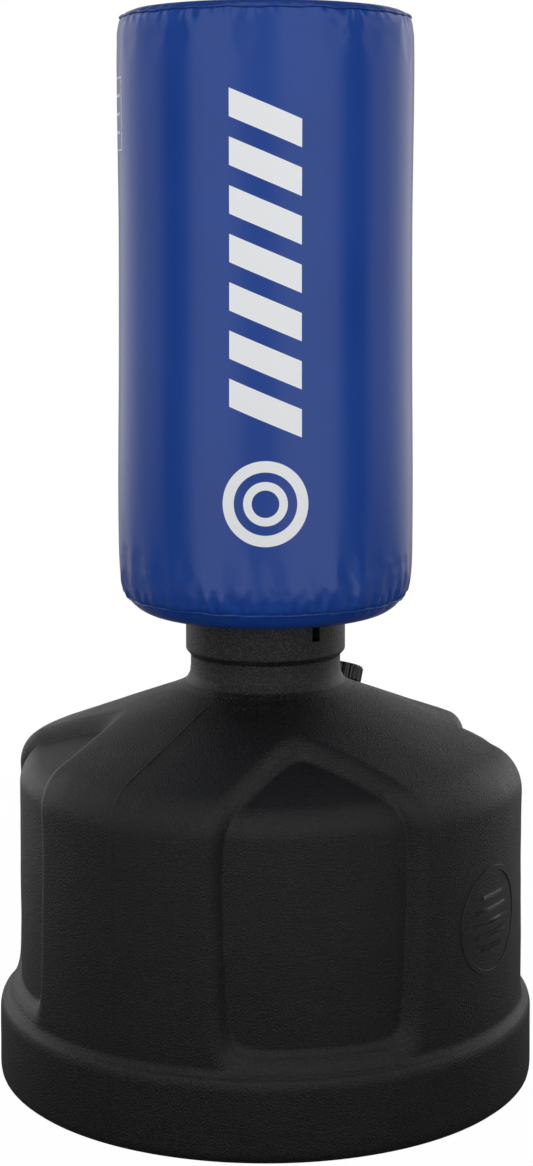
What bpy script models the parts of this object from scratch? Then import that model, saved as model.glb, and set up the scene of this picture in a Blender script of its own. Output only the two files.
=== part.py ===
# Free-standing punching bag: a hollow ballast base, a pinned support post, and a foam bag in a vinyl cover.
# Metres, +Z up. The origin is the centre of the base's underside. The recessed panels face -Y, +X, +Y and -X.

import math

import bmesh
import bpy
import numpy as np
from mathutils import Matrix, Vector

# ---------------------------------------------------------------- driving sizes

GAP = 0.0003               # between pieces that touch
SIDES = 48                 # round pieces of the bag
POST_SIDES = 32            # round pieces of the post

SKIRT_R = 0.3000           # base
WALL_R = 0.2905
WALL = 0.0045              # moulded wall thickness
LEDGE_Z = 0.0940           # where the wall rises from the skirt's ledge
BEND_R = 0.0480            # bend from wall to shoulder
BEND_Z = 0.3285
SLOPE = math.radians(21)   # shoulder
NECK_R = 0.0842
COLLAR_R = 0.0896
COLLAR_FOOT_Z = 0.4705
RIM_Z = 0.5140
BORE_R = 0.0520            # blind well that holds the post
WELL_FLOOR_Z = 0.0300

RECESS = 0.0140            # panels
BANK = 0.0220              # width of a panel's sloping edge
APEX_R = 0.1435            # where a panel's two upper edges would meet
POINT_ROUND = 0.0140       # rounding of a panel's point
CORNER_ROUND = 0.0120      # rounding of a panel's other corners
ARM = 0.951                # slope of a panel's two upper edges in plan
PANEL_HALF = math.radians(25.5)
PANEL_TAPER = math.radians(8.7)   # per metre of height, narrower downwards

FRONT = math.radians(-90)
NOTCH_TURN = FRONT + math.radians(26.7)
NOTCH_WIDE, NOTCH_DEEP = 0.0110, 0.0185
PORT_TURN = FRONT + math.radians(135)
PORT_R = 0.1640            # distance of the fill port from the base's axis

LOCK_Z = 0.5176            # underside of the lock ring at the lowest setting
STEP = 0.0762              # one height setting
SETTINGS = 7               # settings above the lowest
TUBE_R, TUBE_BORE = 0.0450, 0.0405
TUBE_TOP = 1.1320
PIN_R, PIN_REACH = 0.0040, 0.0525
LINER_R, LINER_BORE, LINER_TOP = 0.0575, 0.0545, 1.1420
SKIN = 0.0015              # vinyl
WELT_R = 0.0022
WELT_LOW = (0.1553, 0.5380)
WELT_HIGH = (0.1598, 1.1790)
FOAM_SPLIT = 1.1466        # foam tube below, foam disc above

# outer lines of the three cover pieces, as (radius, height)
COVER_WALL = [(0.1568, 0.5413), (0.1607, 0.5500), (0.1632, 0.5640), (0.1643, 0.5840), (0.1646, 0.6070),
              (0.1633, 0.8240), (0.1630, 0.9700), (0.1637, 1.0380), (0.1642, 1.0950), (0.1639, 1.1450),
              (0.1628, 1.1660), (0.1600, 1.1755)]
COVER_FLOOR = [(0.0770, 0.5179), (0.1165, 0.5179), (0.1270, 0.5192), (0.1380, 0.5228), (0.1470, 0.5288),
               (0.1526, 0.5350)]
COVER_ROOF = [(0.1563, 1.1815), (0.1500, 1.1848), (0.1370, 1.1872), (0.1080, 1.1893), (0.0600, 1.1908),
              (0.0, 1.1915)]

# ---------------------------------------------------------------- helpers


def clear_scene():
    for old in list(bpy.data.objects):
        bpy.data.objects.remove(old)


def link(name, bm):
    bmesh.ops.recalc_face_normals(bm, faces=bm.faces)
    if bm.calc_volume(signed=True) < 0:
        bmesh.ops.reverse_faces(bm, faces=bm.faces)
    return link_as_is(name, bm)


def link_as_is(name, bm):
    mesh = bpy.data.meshes.new(name)
    bm.to_mesh(mesh)
    bm.free()
    obj = bpy.data.objects.new(name, mesh)
    bpy.context.scene.collection.objects.link(obj)
    return obj


def ring_points(radius, z, count, rib=0.0, every=1):
    """A ring of points about Z. With a rib depth, each point whose number divides by every is drawn in."""
    points = []
    for i in range(count):
        r = radius - (rib if i % every == 0 else 0.0)
        a = 2 * math.pi * i / count
        points.append((r * math.cos(a), r * math.sin(a), z))
    return points


def skin_rings(bm, rings, closed):
    """Faces between neighbouring rings of points. A ring of one point is a pole."""
    made = [[bm.verts.new(p) for p in ring] for ring in rings]
    pairs = list(zip(made, made[1:]))
    if closed:
        pairs.append((made[-1], made[0]))
    count = max(len(ring) for ring in made)
    faces = []
    for a, b in pairs:
        if len(a) == 1 and len(b) == 1:
            continue
        for i in range(count):
            j = (i + 1) % count
            if len(a) == 1:
                corners = (a[0], b[j], b[i])
            elif len(b) == 1:
                corners = (a[i], a[j], b[0])
            else:
                corners = (a[i], a[j], b[j], b[i])
            faces.append(bm.faces.new(corners))
    return faces


def turned(name, outline, count=SIDES, place=None, rib=0.0, every=1, rib_rows=()):
    """A solid of revolution about Z, moved to place. outline is a closed (radius, z) polygon."""
    rings = []
    for k, (r, z) in enumerate(outline):
        depth = rib if k in rib_rows else 0.0
        rings.append([(0.0, 0.0, z)] if r < 1e-9 else ring_points(r, z, count, depth, every))
    bm = bmesh.new()
    skin_rings(bm, rings, closed=True)
    if place is not None:
        bmesh.ops.transform(bm, matrix=place, verts=bm.verts)
    return link(name, bm)


def inset(line, by):
    """The open (radius, z) line moved by a distance to its left."""
    p = np.array(line, float)
    d = np.diff(p, axis=0)
    d /= np.linalg.norm(d, axis=1)[:, None]
    n = np.c_[-d[:, 1], d[:, 0]]
    out = []
    for i in range(len(p)):
        mitre = n[max(i - 1, 0)] + n[min(i, len(n) - 1)]
        out.append(p[i] + mitre / (mitre @ mitre) * 2 * by)
    return [(float(r), float(z)) for r, z in out]


def sheet_outline(line, thick):
    return list(line) + inset(line, thick)[::-1]


def keyed_ring(name, bore, key_radius, key_half, outside, low, high):
    """A flat ring with two opposite keyways on the X axis."""
    wide, narrow = math.asin(key_half / bore), math.asin(key_half / key_radius)
    free = math.pi - 2 * wide
    steps = SIDES // 2 - 4
    angles, inner = [], []
    for side in (0.0, math.pi):
        for a, r in ((-wide, bore), (-narrow, key_radius), (0.0, key_radius), (narrow, key_radius), (wide, bore)):
            angles.append(side + a)
            inner.append(r)
        for i in range(1, steps):
            angles.append(side + wide + free * i / steps)
            inner.append(bore)
    rings = []
    for radii, z in ((inner, low), (None, low), (None, high), (inner, high)):
        radii = radii or [outside] * len(angles)
        rings.append([(r * math.cos(a), r * math.sin(a), z) for a, r in zip(angles, radii)])
    bm = bmesh.new()
    skin_rings(bm, rings, closed=True)
    return link(name, bm)


def rod(name, radius, length, place, count):
    bm = bmesh.new()
    bmesh.ops.create_cone(bm, cap_ends=True, segments=count, radius1=radius, radius2=radius, depth=length)
    bmesh.ops.transform(bm, matrix=place, verts=bm.verts)
    return link(name, bm)


def block(name, size, place):
    bm = bmesh.new()
    bmesh.ops.create_cube(bm, size=1)
    bmesh.ops.scale(bm, vec=size, verts=bm.verts)
    bmesh.ops.transform(bm, matrix=place, verts=bm.verts)
    return link(name, bm)


def combine(target, tool, operation):
    """Adds a Boolean with a tool that isn't itself a piece."""
    tool.hide_render = True
    tool.display_type = "WIRE"
    modifier = target.modifiers.new(tool.name, "BOOLEAN")
    modifier.operation = operation
    modifier.solver = "EXACT"
    modifier.object = tool


def radial_place(turn, radius, z):
    return Matrix.Rotation(turn, 4, "Z") @ Matrix.Translation((radius, 0, z))


# ---------------------------------------------------------------- base shell

BEND_TOP_R = WALL_R - BEND_R + BEND_R * math.sin(SLOPE)
BEND_TOP_Z = BEND_Z + BEND_R * math.cos(SLOPE)


def shoulder_z(r):
    run = BEND_TOP_R - r
    return BEND_TOP_Z + run * math.tan(SLOPE) - 0.06 * run ** 2


def panel_half(z):
    """Half-angle of a panel's side edge at a height on the wall."""
    return PANEL_HALF - PANEL_TAPER * max(0.0, BEND_Z - z)


def arm_angle(r, apex):
    """Half-angle at which a panel's upper edge meets a circle in plan."""
    if r <= apex:
        return 0.0
    a, b, c = 1 + ARM ** 2, 2 * ARM * apex, apex ** 2 - r ** 2
    x = (math.sqrt(b * b - 4 * a * c) - b) / (2 * a)
    return math.asin(min(1.0, x / r))


def unrolled_r(r, z):
    """Distance from the axis with the bend and the wall laid flat in line with the shoulder."""
    if z <= BEND_Z:
        down = BEND_R * (math.pi / 2 - SLOPE) + BEND_Z - z
    elif r > BEND_TOP_R:
        down = BEND_R * (math.pi / 2 - SLOPE - math.atan2(z - BEND_Z, r - WALL_R + BEND_R))
    else:
        return r
    return BEND_TOP_R + down * math.cos(SLOPE)


def recess_share(turn, r, z):
    """0 on the raised skin, 1 on a panel's floor, from the distance inside the panel's rounded outline."""
    if z < LEDGE_Z - 0.004 or r < APEX_R:
        return 0.0
    side = (panel_half(z) - abs(turn)) * r
    flat_r = unrolled_r(r, z)
    x, y = math.hypot(math.sin(turn) * flat_r, POINT_ROUND), math.cos(turn) * flat_r
    arm = (y - APEX_R - ARM * x) / math.hypot(1, ARM)
    foot = z - (LEDGE_Z - 0.0075)
    total = sum(math.exp(-min(max(v, -0.2), 0.2) / CORNER_ROUND) for v in (side, arm, foot))
    inside = -CORNER_ROUND * math.log(total)
    t = min(1.0, max(0.0, inside / BANK))
    return t ** 1.6 * (1.6 - 0.6 * t)


def quarter_columns(r, z):
    """Column angles of one quarter, so that the grid follows a panel's outline."""
    bank_angle = BANK / WALL_R
    if z < LEDGE_Z:
        outer = panel_half(LEDGE_Z)
        inner = outer - bank_angle
    elif r < APEX_R:
        outer, inner = math.radians(9), math.radians(4)
    elif z < BEND_Z:
        outer = panel_half(z)
        inner = outer - bank_angle
    else:
        flat_r = unrolled_r(r, z)
        outer = min(PANEL_HALF, max(arm_angle(flat_r, APEX_R + 0.006), math.radians(4)))
        inner = min(PANEL_HALF - bank_angle, arm_angle(flat_r, APEX_R + BANK + 0.014))
        inner = max(inner, outer * 0.35)
    rest = math.pi / 4 - outer
    right = [inner / 3, inner * 2 / 3, inner, (inner + outer) / 2, outer, outer + rest * 0.36, outer + rest * 0.70]
    return [-a for a in right[::-1]] + [0.0] + right + [math.pi / 4]


def raised_line():
    """The base's raised outer line from the floor to the rim."""
    line = [(SKIRT_R - 0.0060, 0.0), (SKIRT_R - 0.0010, 0.0040), (SKIRT_R, 0.0100), (SKIRT_R, 0.0780),
            (SKIRT_R - 0.0020, 0.0850), (SKIRT_R - 0.0070, 0.0890), (WALL_R, LEDGE_Z)]
    line += [(WALL_R, LEDGE_Z + up) for up in (0.008, 0.018, 0.036, 0.080, 0.140, 0.200)]
    for k in range(5):
        a = (math.pi / 2 - SLOPE) * k / 4
        line.append((WALL_R - BEND_R + BEND_R * math.cos(a), BEND_Z + BEND_R * math.sin(a)))
    shoulder = (0.247, 0.232, 0.217, 0.202, 0.188, 0.176, 0.166, 0.157, 0.147, 0.130, 0.112)
    line += [(r, shoulder_z(r)) for r in shoulder]
    line += [(0.0990, 0.4345), (0.0898, 0.4405), (0.0853, 0.4490), (NECK_R, 0.4580), (NECK_R, COLLAR_FOOT_Z)]
    line += [(COLLAR_R, COLLAR_FOOT_Z + 0.0060), (COLLAR_R, RIM_Z - 0.0015), (COLLAR_R - 0.0015, RIM_Z)]
    return line


def skin_grid(line):
    """Rings of (radius, z, angle) with the four panels sunk into them."""
    p = np.array(line)
    d = np.gradient(p, axis=0)
    d /= np.linalg.norm(d, axis=1)[:, None]
    grid = []
    for (r, z), (dr, dz) in zip(line, d):
        ring = []
        for quarter in range(4):
            for turn in quarter_columns(r, z):
                sink = RECESS * recess_share(turn, r, z)
                ring.append((r - dz * sink, z + dr * sink, FRONT + quarter * math.pi / 2 + turn))
        grid.append(ring)
    return grid


def with_size(ring, r, z):
    return [(r, z, a) for _, _, a in ring]


def to_points(rings):
    made = []
    for ring in rings:
        if isinstance(ring, float):
            made.append([(0.0, 0.0, ring)])
        else:
            made.append([(r * math.cos(a), r * math.sin(a), z) for r, z, a in ring])
    return made


def port_place():
    radial = Vector((math.cos(PORT_TURN), math.sin(PORT_TURN), 0))
    axis = radial * math.sin(SLOPE) + Vector((0, 0, math.cos(SLOPE)))
    at = radial * PORT_R + Vector((0, 0, shoulder_z(PORT_R)))
    return Matrix.Translation(at) @ Vector((0, 0, 1)).rotation_difference(axis).to_matrix().to_4x4()


def make_base_shell():
    """The outer skin with its well, and the ballast chamber one wall thickness inside it."""
    line = raised_line()
    grid = skin_grid(line)
    top = grid[-1]
    well = [with_size(top, BORE_R + 0.0015, RIM_Z), with_size(top, BORE_R, RIM_Z - 0.0015),
            with_size(top, BORE_R, WELL_FLOOR_Z)]
    inner_line = inset(line, WALL)
    neck_index = len(line) - 4        # the chamber stops inside the neck's last ring
    skipped = (0, 1, neck_index - 3)  # rings whose inset would fold over its neighbour
    chamber = []
    for k in range(neck_index + 1):
        if k in skipped:
            continue
        dr, dz = inner_line[k][0] - line[k][0], inner_line[k][1] - line[k][1]
        chamber.append([(r + dr, z + dz, a) for r, z, a in grid[k]])
    edge = chamber[-1]
    chamber_top = RIM_Z - NOTCH_DEEP - 0.0050
    lid = [with_size(edge, COLLAR_R - WALL, chamber_top), with_size(edge, BORE_R + WALL, chamber_top),
           with_size(edge, BORE_R + WALL, WELL_FLOOR_Z - WALL)]
    floor_ring = with_size(chamber[0], SKIRT_R - 0.0100, WALL)

    bm = bmesh.new()
    skin_rings(bm, to_points([0.0] + grid + well + [WELL_FLOOR_Z]), closed=False)
    faces = skin_rings(bm, to_points([WALL, floor_ring] + chamber + lid + [WELL_FLOOR_Z - WALL]), closed=False)
    bmesh.ops.reverse_faces(bm, faces=faces)
    shell = link_as_is("base_shell", bm)

    combine(shell, rod("port_hole", 0.0188, 0.040, port_place(), 24), "DIFFERENCE")
    for n in range(2):
        place = radial_place(NOTCH_TURN + n * math.pi, 0.0745, RIM_Z - NOTCH_DEEP + 0.0200)
        combine(shell, block(f"notch_{n}", (0.050, NOTCH_WIDE, 0.040), place), "DIFFERENCE")


# ---------------------------------------------------------------- fill port


def make_fill_port():
    """The threaded ring moulded into the shoulder, its gasket, and the ribbed screw cap over it."""
    place = port_place()
    turned("fill_port_insert", [(0.0145, -0.0090), (0.0180, -0.0090), (0.0180, 0.0165), (0.0145, 0.0165)], 24, place)
    turned("cap_gasket", [(0.0140, 0.0168), (0.0180, 0.0168), (0.0180, 0.0184), (0.0140, 0.0184)], 24, place)
    cap = [(0.0187, 0.0032), (0.0222, 0.0032), (0.0225, 0.0040), (0.0225, 0.0190), (0.0205, 0.0217),
           (0.0, 0.0220), (0.0, 0.0187), (0.0187, 0.0187)]
    turned("fill_cap", cap, 54, place, rib=0.0013, every=3, rib_rows=(1, 2, 3))


# ---------------------------------------------------------------- post


def make_post():
    foot_top = WELL_FLOOR_Z + 0.0085
    tube = turned("support_tube", [(TUBE_BORE, foot_top + GAP), (TUBE_R, foot_top + GAP), (TUBE_R, TUBE_TOP),
                                   (TUBE_BORE, TUBE_TOP)], POST_SIDES)
    foot_bottom, foot_rim = WELL_FLOOR_Z + GAP, WELL_FLOOR_Z + 0.030
    socket = TUBE_R + GAP + 0.0001
    turned("tube_foot", [(0.0, foot_bottom), (BORE_R - 0.0005, foot_bottom), (BORE_R - 0.0005, foot_rim),
                         (socket, foot_rim), (socket, foot_top), (0.0, foot_top)], POST_SIDES)
    guide_r = LINER_BORE - 0.0005
    turned("tube_top_cap", [(0.0, TUBE_TOP - 0.0250), (TUBE_BORE - 0.0005, TUBE_TOP - 0.0250),
                            (TUBE_BORE - 0.0005, TUBE_TOP + GAP), (guide_r - 0.0008, TUBE_TOP + GAP),
                            (guide_r, TUBE_TOP + 0.0012), (guide_r, TUBE_TOP + 0.0068),
                            (guide_r - 0.0010, TUBE_TOP + 0.0078), (0.0, TUBE_TOP + 0.0078)])
    for k in range(1, SETTINGS + 1):
        height = LOCK_Z + STEP * k - GAP - PIN_R
        place = Matrix.Translation((0, 0, height)) @ Matrix.Rotation(math.pi / 2, 4, "Y")
        rod(f"cross_pin_{k}", PIN_R, 2 * PIN_REACH, place, 12)
        combine(tube, rod(f"pin_hole_{k}", PIN_R + GAP + 0.0001, 0.12, place, 12), "DIFFERENCE")


def make_neck_bush():
    """A sleeve in the collar's bore, with a flange on the rim and two keys in the rim's notches."""
    sleeve, flange, low = BORE_R - 0.0005, 0.0800, RIM_Z - 0.070
    bush = turned("neck_bush", [(TUBE_R + 0.0006, low), (sleeve, low), (sleeve, RIM_Z + GAP), (flange, RIM_Z + GAP),
                                (flange, LOCK_Z - GAP), (TUBE_R + 0.0006, LOCK_Z - GAP)])
    key_low, key_high = RIM_Z - NOTCH_DEEP + 0.0005, LOCK_Z - 0.0010
    for n in range(2):
        place = radial_place(NOTCH_TURN + n * math.pi, 0.0690, (key_low + key_high) / 2)
        combine(bush, block(f"key_{n}", (0.018, NOTCH_WIDE - 0.0010, key_high - key_low), place), "UNION")


# ---------------------------------------------------------------- bag


def make_lock():
    ring_high = LOCK_Z + 0.0120
    keyed_ring("lock_ring", TUBE_R + 0.0010, PIN_REACH + 0.0010, PIN_R + 0.0016, 0.0740, LOCK_Z, ring_high)
    bush_low = ring_high + 0.0006
    keyed_ring("glide_bush", TUBE_R + 0.0006, PIN_REACH + 0.0005, PIN_R + 0.0008, LINER_BORE - 0.0004,
               bush_low, bush_low + 0.0400)
    turned("bag_liner", [(LINER_BORE, ring_high + GAP), (LINER_R, ring_high + GAP), (LINER_R, LINER_TOP),
                         (LINER_BORE, LINER_TOP)])
    turned("liner_cap", [(0.0, LINER_TOP + GAP), (LINER_R, LINER_TOP + GAP), (LINER_R, LINER_TOP + 0.0040),
                         (0.0, LINER_TOP + 0.0040)])


def welt(name, centre):
    circle = [(centre[0] + x, centre[1] + y) for x, y, _ in ring_points(WELT_R, 0.0, 8)]
    turned(name, circle)


def make_cover():
    turned("cover_wall", sheet_outline(COVER_WALL, SKIN))
    turned("cover_bottom", sheet_outline(COVER_FLOOR, SKIN))
    roof_under = inset(COVER_ROOF, SKIN)
    roof_under[-1] = (0.0, COVER_ROOF[-1][1] - SKIN)
    turned("cover_top", COVER_ROOF + roof_under[::-1])
    welt("welt_bottom", WELT_LOW)
    welt("welt_top", WELT_HIGH)


def make_foam():
    """A thick tube round the liner and a disc above it, filling the cover."""
    lift = SKIN + GAP
    bore, base_z = LINER_R + 0.0005, LOCK_Z + 0.0126
    floor = inset(COVER_FLOOR, lift)[:-1]
    side = [p for p in inset(COVER_WALL, lift + 0.0002) if 0.545 < p[1] < FOAM_SPLIT - 0.005]
    top = (side[-1][0], FOAM_SPLIT)
    turned("foam_core", [(bore, base_z), (floor[0][0], base_z)] + floor + side + [top, (bore, FOAM_SPLIT)])
    roof = inset(COVER_ROOF, lift)
    roof[-1] = (0.0, COVER_ROOF[-1][1] - lift)
    low = FOAM_SPLIT + GAP
    turned("foam_top", [(0.0, low), (0.1614, low), (0.1606, 1.1600), (0.1592, 1.1680), (0.1566, 1.1740)] + roof)


clear_scene()
make_base_shell()
make_fill_port()
make_post()
make_neck_bush()
make_lock()
make_cover()
make_foam()
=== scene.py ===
# Free-standing punching bag: the looks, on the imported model's frame. Metres, +Z up.
# The recessed panels face -Y, +X, +Y and -X. The cover's print faces a little to the -X side of -Y.

import math

import bmesh
import bpy
import numpy as np
from mathutils import Matrix, Vector, noise


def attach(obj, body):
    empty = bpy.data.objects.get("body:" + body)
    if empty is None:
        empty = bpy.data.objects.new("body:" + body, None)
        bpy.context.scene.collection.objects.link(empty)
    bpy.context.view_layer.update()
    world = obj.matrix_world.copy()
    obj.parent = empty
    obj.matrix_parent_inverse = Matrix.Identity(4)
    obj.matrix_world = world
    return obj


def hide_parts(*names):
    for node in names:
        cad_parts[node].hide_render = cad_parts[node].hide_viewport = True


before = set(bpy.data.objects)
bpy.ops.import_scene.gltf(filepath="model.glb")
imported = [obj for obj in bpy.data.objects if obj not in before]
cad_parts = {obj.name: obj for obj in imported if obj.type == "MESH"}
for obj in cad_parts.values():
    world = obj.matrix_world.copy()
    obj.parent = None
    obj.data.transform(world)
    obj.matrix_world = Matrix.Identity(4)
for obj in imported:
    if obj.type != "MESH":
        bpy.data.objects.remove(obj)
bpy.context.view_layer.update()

# ---------------------------------------------------------------- sizes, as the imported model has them

SKIRT_R, WALL_R = 0.3000, 0.2905
WALL = 0.0045
LEDGE_Z = 0.0940
BEND_R, BEND_Z = 0.0480, 0.3285
SLOPE = math.radians(21)
NECK_R, COLLAR_R = 0.0842, 0.0896
COLLAR_FOOT_Z, RIM_Z = 0.4705, 0.5140
BORE_R, WELL_FLOOR_Z = 0.0520, 0.0300
RECESS, BANK = 0.0140, 0.0220
APEX_R, ARM = 0.1435, 0.951
POINT_ROUND, CORNER_ROUND = 0.0140, 0.0120
PANEL_HALF, PANEL_TAPER = math.radians(25.5), math.radians(8.7)
FRONT = math.radians(-90)
NOTCH_TURN = FRONT + math.radians(26.7)
NOTCH_WIDE, NOTCH_DEEP = 0.0110, 0.0185
PORT_TURN, PORT_R = FRONT + math.radians(135), 0.1640
PARTING_TURNS = (FRONT + math.radians(-45), FRONT + math.radians(135))
EMBLEM_TURN, EMBLEM_Z, EMBLEM_R = FRONT + math.radians(45), 0.212, 0.056
EMBLEM_RAISE, EMBLEM_EDGE, EMBLEM_SUNK, EMBLEM_LINE = 0.0007, 0.0003, 0.0015, 0.0030
LOCK_Z, STEP, SETTINGS = 0.5176, 0.0762, 7
REST_GAP = 0.0003     # between a part and what it rests on
TUBE_R, TUBE_BORE, TUBE_TOP = 0.0450, 0.0405, 1.1320
PIN_R, PIN_REACH = 0.0040, 0.0525
LINER_R = 0.0575
SKIN = 0.0015
BAG_R, SEAM_R = 0.1640, 0.1600
SEAM_LOW, SEAM_HIGH = (0.1550, 0.5384), (0.1594, 1.1784)
PRINT_TURN = FRONT + math.radians(-11.5)

# ---------------------------------------------------------------- mesh helpers


def add_mesh(name, points, faces, sharp_from=math.radians(40)):
    mesh = bpy.data.meshes.new(name)
    mesh.from_pydata([tuple(p) for p in points], [], [tuple(f) for f in faces])
    mesh.validate()
    bm = bmesh.new()
    bm.from_mesh(mesh)
    bmesh.ops.recalc_face_normals(bm, faces=bm.faces)
    bm.to_mesh(mesh)
    bm.free()
    mesh.shade_smooth()
    mesh.set_sharp_from_angle(angle=sharp_from)
    obj = bpy.data.objects.new(name, mesh)
    bpy.context.scene.collection.objects.link(obj)
    return obj


def ring_faces(rows, columns, first=0, wrap_rows=False):
    """Faces of a grid of points whose columns go all the way round."""
    faces = []
    for k in range(rows if wrap_rows else rows - 1):
        a, b = first + k * columns, first + (k + 1) % rows * columns
        for i in range(columns):
            j = (i + 1) % columns
            faces.append((a + i, a + j, b + j, b + i))
    return faces


def fan_faces(row_first, columns, centre):
    return [(row_first + i, row_first + (i + 1) % columns, centre) for i in range(columns)]


def closed_skin(name, rings, sharp_from=math.radians(40)):
    """A closed skin over rings of points, given as an array [ring, column, xyz], with a fan at each end."""
    rows, columns, _ = rings.shape
    points = rings.reshape(-1, 3).tolist()
    points += [rings[0].mean(axis=0).tolist(), rings[-1].mean(axis=0).tolist()]
    faces = ring_faces(rows, columns)
    faces += fan_faces(0, columns, rows * columns)
    faces += fan_faces((rows - 1) * columns, columns, rows * columns + 1)
    return add_mesh(name, points, faces, sharp_from)


def eased(line, by, closed=True):
    """The (radius, z) line with each corner rounded over a distance along its two sides."""
    steps = 5
    count = len(line)
    out = []
    for k, p in enumerate(line):
        if not closed and k in (0, count - 1):
            out.append(p)
            continue
        p = np.array(p)
        before = np.array(line[k - 1]) - p
        after = np.array(line[(k + 1) % count]) - p
        reach = min(by, 0.45 * np.linalg.norm(before), 0.45 * np.linalg.norm(after))
        if p[0] < 1e-6 or reach < 1e-6:
            out.append(tuple(p))
            continue
        a = p + before / np.linalg.norm(before) * reach
        b = p + after / np.linalg.norm(after) * reach
        for s in range(steps + 1):
            t = s / steps
            q = a * (1 - t) ** 2 + 2 * p * t * (1 - t) + b * t ** 2
            out.append((float(q[0]), float(q[1])))
    return out


def resampled(line, step):
    """The open line cut into pieces no longer than the step."""
    out = [line[0]]
    for a, b in zip(line, line[1:]):
        pieces = max(1, math.ceil(math.dist(a, b) / step))
        for i in range(1, pieces + 1):
            out.append((a[0] + (b[0] - a[0]) * i / pieces, a[1] + (b[1] - a[1]) * i / pieces))
    return out


def even_turns(columns):
    return np.arange(columns) * (2 * math.pi / columns)


def turned_grid(line, turns):
    """Radius, height and angle at each [ring, column] of a line turned about Z."""
    r, a = np.meshgrid([p[0] for p in line], turns, indexing="ij")
    z, _ = np.meshgrid([p[1] for p in line], turns, indexing="ij")
    return r, z, a


def grid_points(r, z, a):
    """Points [ring, column, xyz] from a radius, height and angle for each."""
    return np.stack([r * np.cos(a), r * np.sin(a), z], axis=-1)


def revolved(line, columns, relief=None):
    """Points [ring, column, xyz] of a line turned about Z. relief(radius, z, angle) gives a new radius."""
    r, z, a = turned_grid(line, even_turns(columns))
    if relief is not None:
        r = relief(r, z, a)
    return grid_points(r, z, a)


def lathe(name, outline, columns=96, place=None, ease=0.0, relief=None, sharp_from=math.radians(40)):
    """A turned solid. The closed outline may start and end on the axis."""
    on_axis = outline[0][0] < 1e-9
    line = eased(outline, ease) if ease else list(outline)
    if on_axis:
        line = [p for p in line if p[0] > 1e-9]
        obj = closed_skin(name, revolved(line, columns, relief), sharp_from)
    else:
        rings = revolved(line, columns, relief)
        obj = add_mesh(name, rings.reshape(-1, 3), ring_faces(len(line), columns, wrap_rows=True), sharp_from)
    if place is not None:
        obj.data.transform(place)
    return obj


def rod_mesh(bm, radius, length, place, sides=24):
    made = bmesh.ops.create_cone(bm, cap_ends=True, segments=sides,
                                 radius1=radius, radius2=radius, depth=length)
    bmesh.ops.transform(bm, matrix=place, verts=made["verts"])


def block_mesh(bm, size, place):
    made = bmesh.ops.create_cube(bm, size=1)
    bmesh.ops.scale(bm, vec=size, verts=made["verts"])
    bmesh.ops.transform(bm, matrix=place, verts=made["verts"])


def from_bmesh(name, bm):
    mesh = bpy.data.meshes.new(name)
    bm.to_mesh(mesh)
    bm.free()
    obj = bpy.data.objects.new(name, mesh)
    bpy.context.scene.collection.objects.link(obj)
    return obj


def apply_modifiers(obj):
    """Keeps the shape its modifiers give, without the modifiers."""
    evaluated = obj.evaluated_get(bpy.context.evaluated_depsgraph_get())
    mesh = bpy.data.meshes.new_from_object(evaluated)
    obj.modifiers.clear()
    obj.data = mesh


def cut(obj, tool, operation="DIFFERENCE"):
    modifier = obj.modifiers.new("cut", "BOOLEAN")
    modifier.operation = operation
    modifier.solver = "EXACT"
    modifier.object = tool
    apply_modifiers(obj)
    bpy.data.objects.remove(tool)


def soften_shading(obj, sharp_from=math.radians(35)):
    obj.data.shade_smooth()
    obj.data.set_sharp_from_angle(angle=sharp_from)


def radial_place(turn, radius, z):
    return Matrix.Rotation(turn, 4, "Z") @ Matrix.Translation((radius, 0, z))


def finish_piece(obj, body, slot, material, *replaced):
    obj.data.materials.clear()
    obj.data.materials.append(material)
    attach(obj, body)
    if replaced:
        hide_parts(*replaced)
    return obj


# ---------------------------------------------------------------- node helpers


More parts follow.
